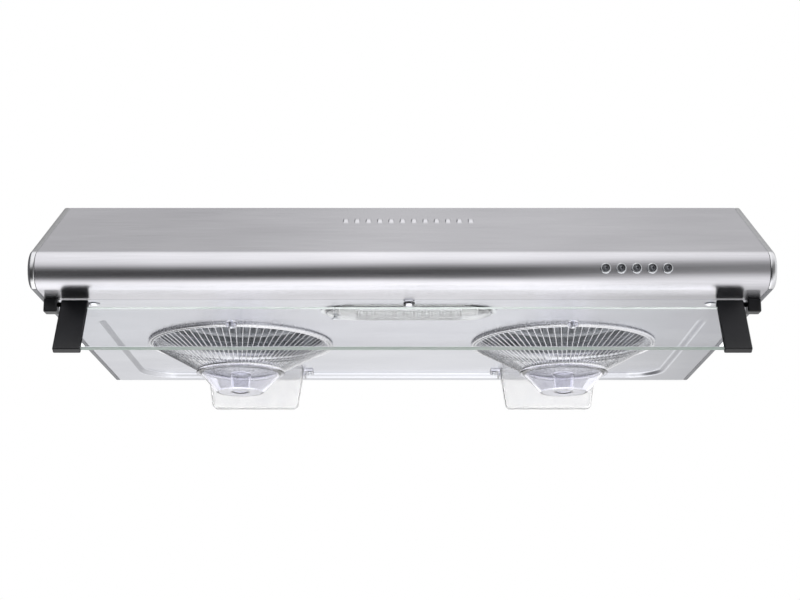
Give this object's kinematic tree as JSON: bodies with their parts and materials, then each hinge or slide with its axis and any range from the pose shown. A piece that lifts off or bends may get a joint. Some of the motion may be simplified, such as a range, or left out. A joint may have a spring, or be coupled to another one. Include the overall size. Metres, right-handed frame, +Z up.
{
  "type": "under cabinet range hood",
  "caption": "Slim stainless under cabinet range hood with a sloped front, glass visor, round wire fan guards, clear oil bowls and rear oil cups.",
  "frame": {"origin": "centre of the flat top face that meets the cabinet above", "axes": "+Z up, -Y the front that faces the cook, +X to the right seen from the front"},
  "size_m": [0.75, 0.5168, 0.2239],
  "materials": {
    "brushed_stainless": "brushed",
    "polished_stainless": "polished",
    "silver_cap": "satin",
    "galvanised_sheet": "satin",
    "chromed_steel": "polished",
    "turned_steel": "satin",
    "black_plastic": "matte",
    "grey_plastic": "matte",
    "white_plastic": "satin",
    "clear_plastic": "polished",
    "frosted_plastic": "satin",
    "visor_glass": "polished",
    "lamp_glass": "satin"
  },
  "bodies": {
    "hood": {"canopy_shell": "brushed_stainless", "bottom_panel": "polished_stainless", "back_panel": "galvanised_sheet", "exhaust_plenum": "galvanised_sheet", "exhaust_collar": "galvanised_sheet", "lamp_housing": "galvanised_sheet", "lamp_tube": "lamp_glass", "lamp_holder": "white_plastic", "lamp_lens": "clear_plastic", "lamp_screw": "turned_steel", "switch_block": "black_plastic", "visor_bumper": "clear_plastic", "terminal_box": "black_plastic", "capacitor": "white_plastic", "cable_gland": "black_plastic", "end_cap_left": "silver_cap", "blower_casing_left": "galvanised_sheet", "motor_left": "turned_steel", "guard_left": "chromed_steel", "guard_clip_screw_left": "chromed_steel", "cup_clip_left_inner": "clear_plastic", "cup_clip_left_outer": "clear_plastic", "visor_pivot_block_left": "black_plastic", "lip_screw_left": "chromed_steel", "end_cap_right": "silver_cap", "blower_casing_right": "galvanised_sheet", "motor_right": "turned_steel", "guard_right": "chromed_steel", "guard_clip_screw_right": "chromed_steel", "cup_clip_right_inner": "clear_plastic", "cup_clip_right_outer": "clear_plastic", "visor_pivot_block_right": "black_plastic", "lip_screw_right": "chromed_steel", "button_bezel_1": "chromed_steel", "button_bezel_2": "chromed_steel", "button_bezel_3": "chromed_steel", "button_bezel_4": "chromed_steel", "button_bezel_5": "chromed_steel"},
    "visor": {"visor_glass": "visor_glass", "visor_arm_left": "black_plastic", "visor_arm_right": "black_plastic"},
    "blower_left": {"fan_wheel_left": "grey_plastic", "motor_shaft_left": "turned_steel", "fan_nut_left": "white_plastic"},
    "bowl_left": {"oil_bowl_left": "clear_plastic"},
    "cup_left": {"oil_cup_left": "frosted_plastic"},
    "turn_clip_left": {"guard_clip_left": "clear_plastic"},
    "blower_right": {"fan_wheel_right": "grey_plastic", "motor_shaft_right": "turned_steel", "fan_nut_right": "white_plastic"},
    "bowl_right": {"oil_bowl_right": "clear_plastic"},
    "cup_right": {"oil_cup_right": "frosted_plastic"},
    "turn_clip_right": {"guard_clip_right": "clear_plastic"},
    "push_1": {"button_1": "grey_plastic"},
    "push_2": {"button_2": "grey_plastic"},
    "push_3": {"button_3": "grey_plastic"},
    "push_4": {"button_4": "grey_plastic"},
    "push_5": {"button_5": "grey_plastic"},
    "flap_front": {"damper_flap_front": "grey_plastic"},
    "flap_rear": {"damper_flap_rear": "grey_plastic"}
  },
  "joints": [
    {"name": "visor_hinge", "type": "hinge", "parent": "hood", "child": "visor", "pos_m": [0, -0.2745, -0.1325], "axis": [1, 0, 0], "range_deg": [-61, 29]},
    {"name": "fan_left_spin", "type": "hinge", "parent": "hood", "child": "blower_left", "pos_m": [-0.19, -0.029, -0.07], "axis": [0, 0, 1], "continuous": true},
    {"name": "fan_right_spin", "type": "hinge", "parent": "hood", "child": "blower_right", "pos_m": [0.19, -0.029, -0.07], "axis": [0, 0, 1], "continuous": true},
    {"name": "bowl_left_pull", "type": "slide", "parent": "hood", "child": "bowl_left", "axis": [0, 0, -1], "range_m": [0, 0.06]},
    {"name": "cup_left_pull", "type": "slide", "parent": "hood", "child": "cup_left", "axis": [0, 0, -1], "range_m": [0, 0.06]},
    {"name": "clip_left_turn", "type": "hinge", "parent": "hood", "child": "turn_clip_left", "pos_m": [-0.19, -0.1436, -0.125], "axis": [0, 0, 1], "range_deg": [0, 90]},
    {"name": "bowl_right_pull", "type": "slide", "parent": "hood", "child": "bowl_right", "axis": [0, 0, -1], "range_m": [0, 0.06]},
    {"name": "cup_right_pull", "type": "slide", "parent": "hood", "child": "cup_right", "axis": [0, 0, -1], "range_m": [0, 0.06]},
    {"name": "clip_right_turn", "type": "hinge", "parent": "hood", "child": "turn_clip_right", "pos_m": [0.19, -0.1436, -0.125], "axis": [0, 0, 1], "range_deg": [0, 90]},
    {"name": "button_1_press", "type": "slide", "parent": "hood", "child": "push_1", "axis": [0, 1, 0], "range_m": [0, 0.003], "stiffness_N_per_m": 400, "springref_m": -0.0025},
    {"name": "button_2_press", "type": "slide", "parent": "hood", "child": "push_2", "axis": [0, 1, 0], "range_m": [0, 0.003], "stiffness_N_per_m": 400, "springref_m": -0.0025},
    {"name": "button_3_press", "type": "slide", "parent": "hood", "child": "push_3", "axis": [0, 1, 0], "range_m": [0, 0.003], "stiffness_N_per_m": 400, "springref_m": -0.0025},
    {"name": "button_4_press", "type": "slide", "parent": "hood", "child": "push_4", "axis": [0, 1, 0], "range_m": [0, 0.003], "stiffness_N_per_m": 400, "springref_m": -0.0025},
    {"name": "button_5_press", "type": "slide", "parent": "hood", "child": "push_5", "axis": [0, 1, 0], "range_m": [0, 0.003], "stiffness_N_per_m": 400, "springref_m": -0.0025},
    {"name": "flap_front_swing", "type": "hinge", "parent": "hood", "child": "flap_front", "pos_m": [0, 0.087, 0.012], "axis": [-1, 0, 0], "range_deg": [0, 75]},
    {"name": "flap_rear_swing", "type": "hinge", "parent": "hood", "child": "flap_rear", "pos_m": [0, 0.093, 0.012], "axis": [1, 0, 0], "range_deg": [0, 75]}
  ]
}
